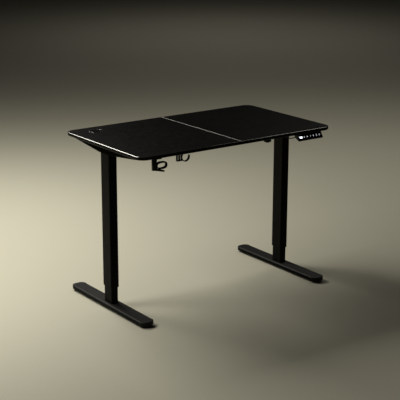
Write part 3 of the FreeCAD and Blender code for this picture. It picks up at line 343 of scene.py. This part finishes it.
def threaded(radius, depth, pitch, low, high, segments=24, rowsPerTurn=8):
    # radius falls by the depth along a triangle wave whose phase is the angle plus the height over the pitch,
    # and fades to the root at both ends
    heights = np.linspace(low, high, int((high - low) / pitch * rowsPerTurn) + 1)[:, None]
    angle = np.linspace(0, 2 * np.pi, segments, endpoint=False)[None, :]
    phase = (heights / pitch - angle / (2 * np.pi)) % 1
    crest = np.clip(1.5 - np.abs(4 * phase - 2) * 1.5, 0, 1)
    fade = np.clip(np.minimum(heights - low, high - heights) / pitch, 0, 1)
    distance = radius - depth + depth * crest * fade
    x, y = distance * np.cos(angle), distance * np.sin(angle)
    return np.stack([x, y, np.broadcast_to(heights, x.shape)], -1)


def roundRectangle(wide, deep, radius, steps=7):
    # four quarter circles, counter-clockwise from the right
    quarter = np.linspace(0, np.pi / 2, steps)
    signs = np.array([(1, 1), (-1, 1), (-1, -1), (1, -1)])
    centres = signs * (np.array([wide, deep]) / 2 - radius)
    angles = np.arange(4)[:, None] * np.pi / 2 + quarter
    ring = centres[:, None, :] + radius * np.stack([np.cos(angles), np.sin(angles)], -1)
    return ring.reshape(-1, 2)


def softBlock(wide, deep, tall, corner, edge, steps=7, dish=0.0):
    # rows of one round rectangle, drawn in by the edge's quarter circle at the bottom and the top; a dish
    # sinks the top by a parabola
    quarter = np.linspace(0, np.pi / 2, 5)
    inset = np.concatenate([edge * (1 - np.sin(quarter)), edge * (1 - np.cos(quarter))])
    heights = np.concatenate([edge * (1 - np.cos(quarter)), tall - edge * (1 - np.sin(quarter))])
    rows = [roundRectangle(wide - 2 * i, deep - 2 * i, corner - i, steps) for i in inset]
    if dish:
        share = np.array([0.75, 0.5, 0.25, 0.03])
        rows += [rows[-1] * s for s in share]
        heights = np.concatenate([heights, tall - dish * (1 - share ** 2)])
    flat = np.stack(rows)
    return np.concatenate([flat, np.broadcast_to(heights[:, None, None], flat.shape[:2] + (1,))], -1)


def prism(outline, low, high):
    # one outline at two heights
    outline = np.asarray(outline, float)
    rows = [np.column_stack([outline, np.full(len(outline), height)]) for height in (low, high)]
    return np.stack(rows)


def swept(path, section, across=(0, 1, 0), loop=False):
    # a flat section along a path that lies at right angles to one direction; the second axis of the
    # section is the path's heading crossed with that direction
    path = np.asarray(path, float)
    across = np.asarray(across, float)
    heading = np.roll(path, -1, 0) - np.roll(path, 1, 0) if loop else np.gradient(path, axis=0)
    heading /= np.linalg.norm(heading, axis=1)[:, None]
    normal = np.cross(heading, across)
    return path[:, None, :] + section[None, :, :1] * across + section[None, :, 1:] * normal[:, None, :]


def sleeve(path, radii):
    # circles of changing radius along a path that never points straight up
    heading = np.gradient(path, axis=0)
    heading /= np.linalg.norm(heading, axis=1)[:, None]
    side = np.cross((0, 0, 1), heading)
    side /= np.linalg.norm(side, axis=1)[:, None]
    over = np.cross(heading, side)
    angle = np.linspace(0, 2 * np.pi, 20, endpoint=False)
    ring = np.cos(angle)[None, :, None] * side[:, None, :] + np.sin(angle)[None, :, None] * over[:, None, :]
    return path[:, None, :] + np.asarray(radii)[:, None, None] * ring


def placed(grid, origin, axes=((1, 0, 0), (0, 1, 0), (0, 0, 1))):
    # axes are where the grid's own x, y and z point
    return grid @ np.asarray(axes, float) + np.asarray(origin, float)


def middleOf(name):
    low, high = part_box(name)
    return np.array(low + high) / 2


# levelling feet: a ribbed rubber pad, a sloping neck and a threaded stud

leveller = {
    "padRound": 0.019, "edge": 0.0008, "rim": 0.0035, "neck": 0.014, "neckTall": 0.0077,
    "socketRound": 0.0062, "socketDeep": 0.0003, "studRound": 0.004, "studTop": 0.0199, "pitch": 0.00125,
    "threadDeep": 0.0007, "groove": 0.0005, "grooves": 5,
}


def makeLevellers():
    f = leveller
    pad, edge, rim, neck, tall = (f[key] for key in ("padRound", "edge", "rim", "neck", "neckTall"))
    quarter = np.linspace(0, np.pi / 2, 5)
    lower = np.column_stack([pad - edge * (1 - np.sin(quarter)), edge * (1 - np.cos(quarter))])
    # the tread's height is a raised cosine of the distance from the middle
    treadRound = np.linspace(0.0005, pad - 0.002, 8 * f["grooves"])
    phase = treadRound / pad * 2 * np.pi * f["grooves"]
    tread = np.column_stack([treadRound, f["groove"] * (0.5 - 0.5 * np.cos(phase))])
    floorOfSocket = tall - f["socketDeep"]
    upper = np.array([(pad, rim - edge), (pad - 0.0003, rim - 0.0002), (pad - edge, rim + 0.0002),
                      (neck + 0.0006, tall - 0.0009), (neck - 0.0002, tall - 0.0002), (neck - 0.001, tall),
                      (f["socketRound"], tall), (f["socketRound"] - 0.0004, floorOfSocket),
                      (0.001, floorOfSocket)])
    padGrid = turned(np.concatenate([tread, lower, upper]))
    thread = threaded(f["studRound"], f["threadDeep"], f["pitch"], floorOfSocket, f["studTop"])
    for side in ("left", "right"):
        for end in ("front", "rear"):
            name = f"leveller_{side}_{end}"
            x, y, _ = middleOf(name)
            makePiece(f"pad_{side}_{end}", [gridShell(placed(padGrid, (x, y, 0)))], "rubber", name, (name,))
            makePiece(f"stud_{side}_{end}", [gridShell(placed(thread, (x, y, 0)))], "zinc_steel", name)


# lead screws, worm and worm wheel

drive = {
    "screwRound": 0.007, "screwPitch": 0.008, "screwDeep": 0.0014, "screwBottom": 0.130, "screwTop": 0.652,
    "journalRound": 0.004, "journalTop": 0.681, "journalEdge": 0.0005, "wormRound": 0.006,
    "wormPitch": 0.00314, "wormDeep": 0.0012, "wormLong": 0.024, "stemRound": 0.003, "stemEdge": 0.0004,
    "teeth": 31, "toothDeep": 0.0011, "rimPlay": 0.0002, "rimHollow": 0.0006, "wheelBore": 0.0047,
}


def makeScrews():
    f = drive
    screw = threaded(f["screwRound"], f["screwDeep"], f["screwPitch"], f["screwBottom"], f["screwTop"], 20)
    wide, top, edge = f["journalRound"], f["journalTop"], f["journalEdge"]
    journal = turned([(wide, f["screwTop"] - 0.001), (wide, top - edge), (wide - edge, top)], 24)
    for side in ("left", "right"):
        name = f"lead_screw_{side}"
        x = middleOf(name)[0]
        shells = [gridShell(placed(part, (x, 0, 0))) for part in (screw, journal)]
        makePiece(f"threaded_rod_{side}", shells, "zinc_steel", f"lead_{side}", (name,))


def makeWorm():
    f = drive
    low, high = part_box("worm_shaft")
    x, y, _ = middleOf("worm_shaft")
    wheelX, _, axis = middleOf("worm_wheel")
    worm = threaded(f["wormRound"], f["wormDeep"], f["wormPitch"], high.z - f["wormLong"], high.z, 24, 10)
    stem = turned([(f["stemRound"] - f["stemEdge"], low.z), (f["stemRound"], low.z + f["stemEdge"]),
                   (f["stemRound"], high.z - f["wormLong"] + 0.001)], 24)
    makePiece("worm", [gridShell(placed(part, (x, y, 0))) for part in (worm, stem)], "zinc_steel", "worm",
              ("worm_shaft",))
    low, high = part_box("worm_wheel")
    half, radius = (high.x - low.x) / 2, (high.z - low.z) / 2
    # the rim's radius follows a rounded square wave of the angle, and its face is hollowed to hug the worm
    along = np.linspace(-half, half, 13)[:, None]
    angle = np.linspace(0, 2 * np.pi, 8 * f["teeth"], endpoint=False)[None, :]
    wave = np.clip(1.6 * np.cos(f["teeth"] * angle), -1, 1)
    hollow = f["rimHollow"] * (1 - (along / half) ** 2)
    rim = radius - f["rimPlay"] - f["toothDeep"] * (0.5 - 0.5 * wave) - hollow
    outside = np.stack([rim * np.cos(angle), rim * np.sin(angle), np.broadcast_to(along, rim.shape)], -1)
    bore = f["wheelBore"] + 0 * rim[:1]
    inner = [np.stack([bore * np.cos(angle), bore * np.sin(angle), bore * 0 + z], -1) for z in (half, -half)]
    wheel = np.concatenate([outside] + inner)
    wheel = placed(wheel, (wheelX, 0, axis), ((0, 1, 0), (0, 0, 1), (1, 0, 0)))
    makePiece("toothed_wheel", [gridShell(wheel, True)], "brass", "cross_shaft", ("worm_wheel",))


# motor: a drawn can with a rolled rim, vent slots pressed in as flutes, and a bearing boss

motor = {
    "round": 0.018, "wallIn": 0.0004, "rim": 0.0013, "bossRound": 0.008, "bossTall": 0.004, "flutes": 12,
    "fluteDeep": 0.0008, "fluteFrom": 0.008, "fluteEnds": 0.024, "fluteNarrow": 0.9, "fluteBlend": 0.3,
}


def makeMotor():
    f = motor
    low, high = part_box("motor_can")
    x, y, _ = middleOf("motor_can")
    bottom, top = low.z + f["bossTall"], high.z
    boss, wall = f["bossRound"], f["round"]
    profile = np.array([
        (0.002, low.z + 0.0008), (0.0035, low.z + 0.0003), (boss - 0.0012, low.z),
        (boss - 0.0003, low.z + 0.0003), (boss, low.z + 0.0012), (boss, bottom - 0.0008),
        (boss + 0.0008, bottom), (wall - 0.0032, bottom), (wall - 0.0015, bottom + 0.0005),
        (wall - 0.0005, bottom + 0.0015), (wall - f["rim"] * 0.2, bottom + 0.0032),
    ])
    ends = np.array([(wall - f["wallIn"], top - 0.009), (wall, top - 0.0082), (wall, top - 0.0032),
                     (wall - 0.0008, top - 0.0024), (wall - 0.0008, top)])
    shelf = np.linspace(bottom + 0.004, top - 0.010, 24)
    body = np.column_stack([np.full(24, wall - f["wallIn"]), shelf])
    grid = turned(np.concatenate([profile, body, ends]), 96)
    # flutes: the wall sinks where a raised cosine of the angle meets a bump along the height
    angle = np.arctan2(grid[..., 1], grid[..., 0])
    share = np.clip((grid[..., 2] - bottom - f["fluteFrom"]) / (top - bottom - f["fluteEnds"]), 0, 1)
    ridge = np.clip(2 * np.cos(f["flutes"] * angle) - f["fluteNarrow"], 0, 1)
    sink = f["fluteDeep"] * ridge * np.sin(np.pi * share) ** f["fluteBlend"]
    grid[..., :2] *= (1 - sink / wall)[..., None]
    makePiece("motor_housing", [gridShell(placed(grid, (x, y, 0)))], "powder_coat", "top", ("motor_can",))


# fastener heads: a domed pan head with a cross recess on a plain shank

fastener = {
    "recess": 0.0013, "arm": 0.0024, "armHalf": 0.0005, "headRound": 0.004, "headTall": 0.0025,
    "shankRound": 0.002, "armShank": 0.0125, "plateShank": 0.0122, "armRows": (-0.205, -0.115, 0.115, 0.205),
    "plateX": 0.065, "plateRows": (-0.215, 0, 0.215), "plateStep": 0.011,
}


def panHead(radius, tall, shank, shankLong):
    # rings of the dome first, sunk where a cross of two bars lies, then the head's flat back and the shank
    f = fastener
    share = np.linspace(0.02, 1, 14)
    angle = np.linspace(0, 2 * np.pi, 32, endpoint=False)
    x = radius * share[:, None] * np.cos(angle)
    y = radius * share[:, None] * np.sin(angle)
    dome = tall * (1 - 0.75 * share[:, None] ** 4)
    longBar = (np.abs(x) < f["armHalf"]) & (np.abs(y) < f["arm"])
    crossBar = (np.abs(y) < f["armHalf"]) & (np.abs(x) < f["arm"])
    top = np.stack([x, y, np.where(longBar | crossBar, dome - f["recess"], dome) + 0 * x], -1)
    lower = turned([(radius, 0.0003), (radius - 0.0003, 0), (shank, 0), (shank, -shankLong)], 32)
    return np.concatenate([top, lower])[::-1]


def makeFasteners():
    f = fastener
    facing = ((1, 0, 0), (0, -1, 0), (0, 0, -1))   # the head looks down
    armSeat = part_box("wood_screws")[0].z + f["headTall"]
    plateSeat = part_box("joining_plates")[0].z
    column = middleOf("outer_tube_right")[0]
    spots = [(x, y, armSeat, f["armShank"]) for x in (-column, column) for y in f["armRows"]]
    spots += [(x, row + step, plateSeat, f["plateShank"]) for x in (-f["plateX"], f["plateX"])
              for row in f["plateRows"] for step in (-f["plateStep"], f["plateStep"])]
    shells = []
    for x, y, seat, shankLong in spots:
        head = panHead(f["headRound"], f["headTall"], f["shankRound"], shankLong)
        shells.append(gridShell(placed(head, (x, y, seat), facing)))
    makePiece("pan_head_screws", shells, "zinc_steel", "top", ("wood_screws",))


# hooks: a mounting plate with a stem or three ribs, and rounded straps swept along smooth paths

hooks = {
    "deep": 0.015, "plateTall": 0.004, "plateDeep": 0.024, "plateCorner": 0.005, "plateEdge": 0.0012,
    "bagPlateWide": 0.042, "stemX": -0.4305, "stemWide": 0.021, "stemTall": 0.047, "stemCorner": 0.0045,
    "stemEdge": 0.0025, "stemTaper": 0.07, "eyeX": -0.3965, "eyeDrop": 0.0325, "eyeHalfWide": 0.0236,
    "eyeHalfTall": 0.0126, "eyeThick": 0.0066, "eyePower": 0.72,   # an oval between ellipse and rectangle
    "tongueIn": 0.0085, "tongueLong": 0.0535, "tongueDrop": 0.0460, "tongueDip": 0.0120,
    "tongueThick": 0.0072, "strapIn": 0.001, "ribsIn": 0.003,   # how much less deep than the stem
    "ribsX": -0.278, "ribsPlateWide": 0.046, "ribThick": 0.003, "ribTall": 0.041, "ribCorner": 0.0013,
    "ribEdge": 0.001, "ribPitch": 0.0115, "ribDrop": 0.042, "footWide": 0.026, "footTall": 0.004,
    "footCorner": 0.0018, "footEdge": 0.0015, "crookX": -0.248, "crookDrop": 0.027, "crookRound": 0.0190,
    "crookThick": 0.0038, "crookFrom": 105, "crookTo": 375,   # degrees round the crook
}


def strap(deep, thick, path, loop=False):
    return gridShell(swept(path, roundRectangle(deep, thick, thick * 0.42, 5), loop=loop), loop)


def makeHooks():
    f = hooks
    low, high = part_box("bag_hook")
    y, under, stemX = (low.y + high.y) / 2, high.z, f["stemX"]
    plate = softBlock(f["bagPlateWide"], f["plateDeep"], f["plateTall"], f["plateCorner"], f["plateEdge"])
    plate = placed(plate, (stemX + f["stemWide"] / 2, y, under - f["plateTall"]))
    # the stem narrows a little downwards and its edges are full
    stem = softBlock(f["stemWide"], f["deep"], f["stemTall"], f["stemCorner"], f["stemEdge"])
    stem[..., :2] *= (1 - f["stemTaper"] + f["stemTaper"] * stem[..., 2:] / f["stemTall"])
    stem = placed(stem, (stemX, y, under - f["stemTall"]))
    turn = np.linspace(0, 2 * np.pi, 72, endpoint=False)
    across, upright = (np.sign(wave) * np.abs(wave) ** f["eyePower"] for wave in (np.cos(turn), np.sin(turn)))
    oval = np.column_stack([f["eyeHalfWide"] * across, 0 * turn, f["eyeHalfTall"] * upright])
    eye = strap(f["deep"] - f["strapIn"], f["eyeThick"], oval + (f["eyeX"], y, under - f["eyeDrop"]), True)
    share = np.linspace(0, 1, 24)
    tip = np.column_stack([stemX - f["tongueIn"] + f["tongueLong"] * share, 0 * share + y,
                           under - f["tongueDrop"] - f["tongueDip"] * share ** 1.25])
    tongue = strap(f["deep"] - f["strapIn"], f["tongueThick"], tip)
    makePiece("bag_hook_moulding", [gridShell(plate), gridShell(stem), eye, tongue], "black_plastic", "top",
              ("bag_hook",))
    low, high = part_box("headphone_hook")
    y, under, slim = (low.y + high.y) / 2, high.z, f["deep"] - f["ribsIn"]
    plate = softBlock(f["ribsPlateWide"], f["plateDeep"], f["plateTall"], f["plateCorner"], f["plateEdge"])
    shells = [gridShell(placed(plate, (f["ribsX"], y, under - f["plateTall"])))]
    for step in (-1, 0, 1):
        rib = softBlock(f["ribThick"], slim, f["ribTall"], f["ribCorner"], f["ribEdge"])
        shells.append(gridShell(placed(rib, (f["ribsX"] + step * f["ribPitch"], y, under - f["ribDrop"]))))
    foot = softBlock(f["footWide"], slim, f["footTall"], f["footCorner"], f["footEdge"])
    shells.append(gridShell(placed(foot, (f["ribsX"], y, under - f["ribDrop"]))))
    sweep = np.linspace(math.radians(f["crookFrom"]), math.radians(f["crookTo"]), 44)
    arc = np.column_stack([f["crookX"] + f["crookRound"] * np.cos(sweep), 0 * sweep + y,
                           under - f["crookDrop"] + f["crookRound"] * np.sin(sweep)])
    shells.append(strap(slim, f["crookThick"], arc))
    makePiece("headphone_hook_moulding", shells, "black_plastic", "top", ("headphone_hook",))


# controller: six keys with lit marks and a lit height on the display

control = {
    "digits": "728", "digitTall": 0.0094, "digitWide": 0.0050, "digitPitch": 0.0062, "barWide": 0.0016,
    "slant": 0.10, "proud": 0.0002, "keyMarkTall": 0.0080, "keyMarkWide": 0.0042, "keyBar": 0.0013,
    "keyCorner": 0.0018, "keyEdge": 0.0006, "keyDish": 0.0003, "keyThick": 0.003, "keyWide": 0.013,
    "keyTall": 0.015, "markSunk": 0.00003, "windowHalf": 0.0006, "faceThick": 0.002, "arrowSide": 0.0036,
    "arrowHalf": 0.0034, "ringOutside": 0.0034, "ringInside": 0.0024,
}
bars = {   # middle of each bar in half widths and half heights, and whether it stands
    "a": (0, 1, False), "b": (1, 0.5, True), "c": (1, -0.5, True), "d": (0, -1, False), "e": (-1, -0.5, True),
    "f": (-1, 0.5, True), "g": (0, 0, False),
}
barsOf = {"1": "bc", "2": "abged", "3": "abgcd", "7": "abc", "8": "abcdefg"}


def slopeAxes():
    # across the desk, up the controller's slope, and out of it, read from the thin face plate's box
    low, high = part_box("controller_face")
    rise, run, thick = high.z - low.z, high.y - low.y, control["faceThick"]
    # a plate of height h and thickness t leaning by an angle fills a run of h cos + t sin and a rise of
    # h sin + t cos; repeating the two steps below finds the angle
    tilt = math.atan2(rise, run)
    for _ in range(12):
        tall = (rise - thick * math.cos(tilt)) / math.sin(tilt)
        tilt = math.acos((run - thick * math.sin(tilt)) / tall)
    up = np.array((0, math.cos(tilt), math.sin(tilt)))
    return np.array([(1, 0, 0), up, np.cross((1, 0, 0), up)])


def digitShells(mark, wide, tall, bar, slant):
    shells = []
    for letter in barsOf[mark]:
        across, up, stands = bars[letter]
        half = (tall if stands else 2 * wide) / 4 - bar * 0.55
        outline = np.array([(-half - bar / 2, 0), (-half, -bar / 2), (half, -bar / 2), (half + bar / 2, 0),
                            (half, bar / 2), (-half, bar / 2)])
        outline = outline[:, ::-1] * (-1, 1) if stands else outline
        outline = outline + (across * (wide - bar) / 2, up * (tall - bar) / 2)
        outline[:, 0] += slant * outline[:, 1]
        shells.append(outline)
    return shells


def makeController():
    f = control
    axes = slopeAxes()
    out = axes[2]
    window = middleOf("display_window") + out * f["windowHalf"]
    lit = []
    for n, mark in enumerate(f["digits"]):
        for outline in digitShells(mark, f["digitWide"], f["digitTall"], f["barWide"], f["slant"]):
            shifted = outline + ((n - 1) * f["digitPitch"], 0)
            lit.append(gridShell(placed(prism(shifted, 0, f["proud"]), window, axes)))
    makePiece("height_digits", lit, "litMark", "top")
    side, half = f["arrowSide"], f["arrowHalf"]
    arrow = np.array([(-side, -half * 0.6), (side, -half * 0.6), (0, half)])
    turn = np.linspace(0, 2 * np.pi, 28, endpoint=False)
    circle = np.column_stack([np.cos(turn), np.sin(turn)])
    for key in ("up", "down", "one", "two", "three", "lock"):
        name = f"button_{key}"
        centre = middleOf(name)
        cap = softBlock(f["keyWide"], f["keyTall"], f["keyThick"], f["keyCorner"], f["keyEdge"],
                        dish=f["keyDish"])
        cap = placed(cap, centre - out * f["keyThick"] / 2, axes)
        makePiece(f"key_cap_{key}", [gridShell(cap)], "gloss_plastic", f"key_{key}", (name,))
        front = centre + out * (f["keyThick"] / 2 - f["keyDish"] - f["markSunk"])
        if key in ("up", "down"):
            outlines = [arrow if key == "up" else -arrow]
        elif key == "lock":
            outlines = []
        else:
            mark = {"one": "1", "two": "2", "three": "3"}[key]
            outlines = digitShells(mark, f["keyMarkWide"], f["keyMarkTall"], f["keyBar"], 0)
        shells = [gridShell(placed(prism(outline, 0, f["proud"]), front, axes)) for outline in outlines]
        if key == "lock":
            outside, inside, proud = f["ringOutside"], f["ringInside"], f["proud"]
            rows = [np.column_stack([circle * r, np.full(28, z)])
                    for r, z in ((outside, 0), (outside, proud), (inside, proud), (inside, 0))]
            shells = [gridShell(placed(np.stack(rows), front, axes), True)]
        makePiece(f"key_mark_{key}", shells, "keyMark", f"key_{key}")


# controller's cable: one smooth line, with a ribbed strain relief at each housing

cable = {
    "round": 0.002,
    "route": ((0.345, -0.280, 0.706), (0.345, -0.266, 0.704), (0.341, -0.254, 0.696), (0.332, -0.246, 0.688),
              (0.320, -0.239, 0.685), (0.309, -0.230, 0.689), (0.305, -0.217, 0.696), (0.308, -0.203, 0.701),
              (0.312, -0.190, 0.702), (0.311, -0.175, 0.701), (0.305, -0.162, 0.699), (0.296, -0.153, 0.698),
              (0.284, -0.150, 0.698)),
    "reliefFrom": 0.002, "reliefLong": 0.014, "reliefRound": 0.0036, "reliefPlay": 0.0001, "reliefTaper": 0.8,
    "ribs": 5, "ribDeep": 0.28,
}


def makeCable():
    f = cable
    line = bpy.data.curves.new("controller_lead", "CURVE")
    line.dimensions = "3D"
    spline = line.splines.new("NURBS")
    spline.points.add(len(f["route"]) - 1)
    spline.points.foreach_set("co", np.column_stack([f["route"], np.ones(len(f["route"]))]).ravel())
    spline.order_u = 3
    spline.use_endpoint_u = True
    spline.resolution_u = 10
    lead = bpy.data.objects.new("controller_lead", line)
    bpy.context.scene.collection.objects.link(lead)
    plain = bpy.data.meshes.new_from_object(lead)
    points = np.empty(len(plain.vertices) * 3)
    plain.vertices.foreach_get("co", points)
    points = points.reshape(-1, 3)
    bpy.data.meshes.remove(plain)
    line.bevel_depth = f["round"]
    line.bevel_resolution = 5
    line.use_fill_caps = True
    line.materials.append(finishes["cable"])
    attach(lead, "top")
    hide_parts("controller_cable")
    run = np.concatenate([[0], np.cumsum(np.linalg.norm(np.diff(points, axis=0), axis=1))])
    for name, way in (("controller_relief", 1), ("box_relief", -1)):
        along = np.linspace(f["reliefFrom"], f["reliefLong"], 60)
        where = along if way > 0 else run[-1] - along
        path = np.column_stack([np.interp(where, run, points[:, axis]) for axis in range(3)])
        share = (along - along[0]) / (along[-1] - along[0])
        ribs = 0.5 + 0.5 * np.cos(2 * np.pi * f["ribs"] * share)
        wall = (f["reliefRound"] - f["round"]) * (1 - share) ** f["reliefTaper"]
        radii = f["round"] + f["reliefPlay"] + wall * (1 - f["ribDeep"] + f["ribDeep"] * ribs)
        makePiece(name, [gridShell(sleeve(path, radii))], "rubber", "top")


# control box: cooling ribs and a small lamp on its underside

boxTrim = {
    "ribs": 9, "ribLong": 0.046, "ribWide": 0.0022, "ribTall": 0.0011, "pitch": 0.0065, "ribsFrom": 0.06,
    "ribCorner": 0.001, "ribEdge": 0.0006, "lampRound": 0.0016, "lampFromEnd": 0.03,
}


def makeBoxTrim():
    f = boxTrim
    low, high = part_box("control_box")
    y = (low.y + high.y) / 2
    shells = []
    for n in range(f["ribs"]):
        rib = softBlock(f["ribWide"], f["ribLong"], f["ribTall"] * 2, f["ribCorner"], f["ribEdge"], 4)
        x = low.x + f["ribsFrom"] + n * f["pitch"]
        shells.append(gridShell(placed(rib, (x, y, low.z - f["ribTall"]))))
    makePiece("control_box_ribs", shells, "black_plastic", "top")
    wide = f["lampRound"]
    lamp = turned([(0.0004, low.z - 0.0006), (wide * 0.8, low.z - 0.0004), (wide, low.z + 0.0001),
                   (wide, low.z + 0.001)], 20)
    lamp = placed(lamp, (high.x - f["lampFromEnd"], y, 0))
    makePiece("status_lamp", [gridShell(lamp)], "litMark", "top")


for make in (makeLevellers, makeScrews, makeWorm, makeMotor, makeFasteners, makeHooks, makeController,
             makeCable, makeBoxTrim):
    make()
    print("made", make.__name__[4:])


# softened edges on folded, moulded and cast pieces

softEdges = {
    "controller_housing": 0.0012, "controller_face": 0.0003, "side_bracket_left": 0.0008,
    "side_bracket_right": 0.0008, "control_box": 0.0006, "gearbox_left": 0.001, "gearbox_right": 0.001,
    "motor_gearbox": 0.0015, "cross_rail_front": 0.0012, "cross_rail_rear": 0.0012, "joining_plates": 0.0005,
    "power_inlet": 0.0004, "grommet_sleeve": 0.0007, "grommet_cap": 0.0006, "desktop_left_panel": 0.0003,
    "desktop_right_panel": 0.0003, "display_window": 0.0002, "screw_bearings": 0.0004, "shaft_gears": 0.0002,
    "screw_gear_left": 0.0002, "screw_gear_right": 0.0002, "foot_bolts": 0.0003, "frame_bolts": 0.0004,
    "column_plates": 0.0005, "lead_nuts": 0.0004,
}


def softenEdges():
    # welds a node's loose triangles and rounds every edge that turns by more than 25 degrees
    for name, width in softEdges.items():
        weld = nodes[name].modifiers.new("weld", "WELD")
        weld.merge_threshold = 0.00001
        bevel = nodes[name].modifiers.new("bevel", "BEVEL")
        bevel.width = width
        bevel.segments = 2
        bevel.limit_method = "ANGLE"
        bevel.angle_limit = math.radians(25)
        bevel.harden_normals = True


softenEdges()
print("edges softened", len(softEdges))
